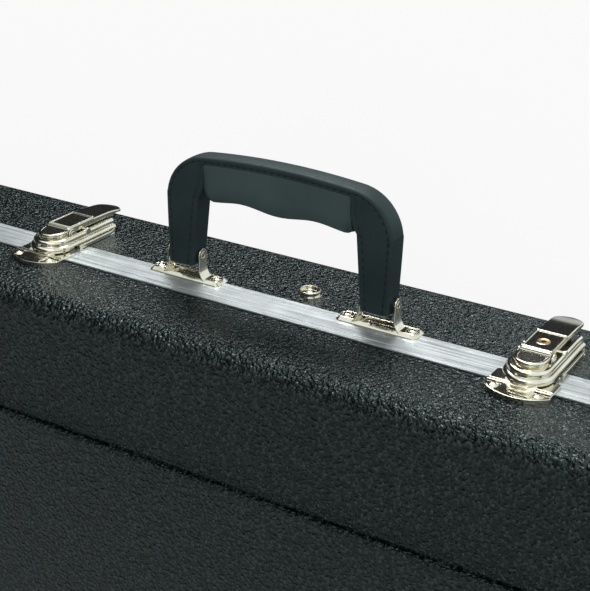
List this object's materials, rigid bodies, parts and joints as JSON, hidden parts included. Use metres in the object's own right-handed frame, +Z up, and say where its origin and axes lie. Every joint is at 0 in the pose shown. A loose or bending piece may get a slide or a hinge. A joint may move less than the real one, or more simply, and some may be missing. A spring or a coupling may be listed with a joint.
{
  "type": "bass guitar case",
  "caption": "Moulded hard case for a bass guitar with a metal rim, draw latches, a swinging handle, a hinged lid and a padded inside.",
  "frame": {"origin": "centre of the overall box, at its bottom, with the case lying on its base", "axes": "+Z up through the lid, +X towards the body end, -Y towards the handle side, +Y towards the hinge side"},
  "size_m": [1.2874, 0.5256, 0.1571],
  "materials": {
    "moulded_shell": "black pebbled moulded plastic",
    "valance": "satin drawn aluminium",
    "plush": "black plush",
    "plush_pad": "black plush over foam",
    "box_plush": "black plush over board",
    "ribbon": "woven ribbon",
    "handle_cover": "satin stitched leather-look cover",
    "steel": "plain steel",
    "lock_brass": "plain brass",
    "nickel": "bright warm nickel plate"
  },
  "bodies": {
    "base": {"accessory_box": "box_plush", "accessory_box_pin": "steel", "base_lining": "plush", "base_rivets": "nickel", "base_shell": "moulded_shell", "base_valance": "valance", "body_pad": "plush_pad", "handle_bracket_body_side": "nickel", "handle_bracket_neck_side": "nickel", "handle_pins": "nickel", "handle_rivets": "nickel", "head_pad": "plush_pad", "hinge_base_leaf_1": "nickel", "hinge_base_leaf_2": "nickel", "hinge_base_leaf_3": "nickel", "hinge_base_leaf_4": "nickel", "hinge_pins": "steel", "latch_plate_body_end": "nickel", "latch_plate_body_side": "nickel", "latch_plate_locking": "nickel", "latch_plate_neck": "nickel", "lever_pins": "nickel", "neck_cradle": "plush_pad", "rivet_cap": "nickel"},
    "lid": {"lid_shell": "moulded_shell", "lid_valance": "valance", "lid_lining": "plush", "lid_pad": "plush_pad", "lid_rivets": "nickel", "catch_plate_body_side": "nickel", "catch_plate_locking": "nickel", "catch_plate_neck": "nickel", "catch_plate_body_end": "nickel", "hinge_lid_leaf_1": "nickel", "hinge_lid_leaf_2": "nickel", "hinge_lid_leaf_3": "nickel", "hinge_lid_leaf_4": "nickel"},
    "handle": {"handle_arch": "handle_cover", "handle_grip": "handle_cover", "handle_insert_body_side": "steel", "handle_insert_neck_side": "steel"},
    "box_lid": {"accessory_box_lid": "box_plush", "accessory_box_tab": "ribbon"},
    "lock_plug": {"lock_plug": "lock_brass"},
    "lever_body_side": {"latch_lever_body_side": "nickel", "bail_pins_body_side": "nickel"},
    "bail_body_side": {"latch_bail_body_side": "nickel"},
    "lever_locking": {"latch_lever_locking": "nickel", "bail_pins_locking": "nickel", "lock_housing": "nickel"},
    "bail_locking": {"latch_bail_locking": "nickel"},
    "lever_neck": {"latch_lever_neck": "nickel", "bail_pins_neck": "nickel"},
    "bail_neck": {"latch_bail_neck": "nickel"},
    "lever_body_end": {"latch_lever_body_end": "nickel", "bail_pins_body_end": "nickel"},
    "bail_body_end": {"latch_bail_body_end": "nickel"}
  },
  "joints": [
    {"name": "lid_hinge", "type": "hinge", "parent": "base", "child": "lid", "pos_m": [-0.0075, 0.25935, 0.0868], "axis": [-1, 0, 0], "range_deg": [0, 100]},
    {"name": "handle_swing", "type": "hinge", "parent": "base", "child": "handle", "pos_m": [0.0875, -0.19355, 0.0773], "axis": [1, 0, 0], "range_deg": [-85, 85]},
    {"name": "box_lid_hinge", "type": "hinge", "parent": "base", "child": "box_lid", "pos_m": [-0.0075, 0.23055, 0.0666], "axis": [-1, 0, 0], "range_deg": [0, 85]},
    {"name": "lever_body_side_lift", "type": "hinge", "parent": "base", "child": "lever_body_side", "pos_m": [0.2539, -0.18715, 0.0823], "axis": [-1, 0, 0], "range_deg": [0, 120]},
    {"name": "bail_body_side_swing", "type": "hinge", "parent": "lever_body_side", "child": "bail_body_side", "pos_m": [0.2539, -0.18635, 0.0693], "axis": [-1, 0, 0], "range_deg": [-120, 0]},
    {"name": "lever_locking_lift", "type": "hinge", "parent": "base", "child": "lever_locking", "pos_m": [-0.0789, -0.18715, 0.0823], "axis": [-1, 0, 0], "range_deg": [0, 120]},
    {"name": "bail_locking_swing", "type": "hinge", "parent": "lever_locking", "child": "bail_locking", "pos_m": [-0.0789, -0.18635, 0.0693], "axis": [-1, 0, 0], "range_deg": [-120, 0]},
    {"name": "key_turn", "type": "hinge", "parent": "lever_locking", "child": "lock_plug", "pos_m": [-0.0789, -0.19185, 0.0726], "axis": [0, -1, 0], "range_deg": [0, 90]},
    {"name": "lever_neck_lift", "type": "hinge", "parent": "base", "child": "lever_neck", "pos_m": [-0.42079, -0.12391, 0.0823], "axis": [-0.9581, 0.2863, 0], "range_deg": [0, 120]},
    {"name": "bail_neck_swing", "type": "hinge", "parent": "lever_neck", "child": "bail_neck", "pos_m": [-0.42056, -0.12314, 0.0693], "axis": [-0.9581, 0.2863, 0], "range_deg": [-120, 0]},
    {"name": "lever_body_end_lift", "type": "hinge", "parent": "base", "child": "lever_body_end", "pos_m": [0.639, 0.01935, 0.0823], "axis": [0, -1, 0], "range_deg": [0, 120]},
    {"name": "bail_body_end_swing", "type": "hinge", "parent": "lever_body_end", "child": "bail_body_end", "pos_m": [0.6382, 0.01935, 0.0693], "axis": [0, -1, 0], "range_deg": [-120, 0]}
  ],
  "couplings": [
    {"joint": "bail_body_side_swing", "follows": "lever_body_side_lift", "ratio": -1},
    {"joint": "bail_locking_swing", "follows": "lever_locking_lift", "ratio": -1},
    {"joint": "bail_neck_swing", "follows": "lever_neck_lift", "ratio": -1},
    {"joint": "bail_body_end_swing", "follows": "lever_body_end_lift", "ratio": -1}
  ]
}
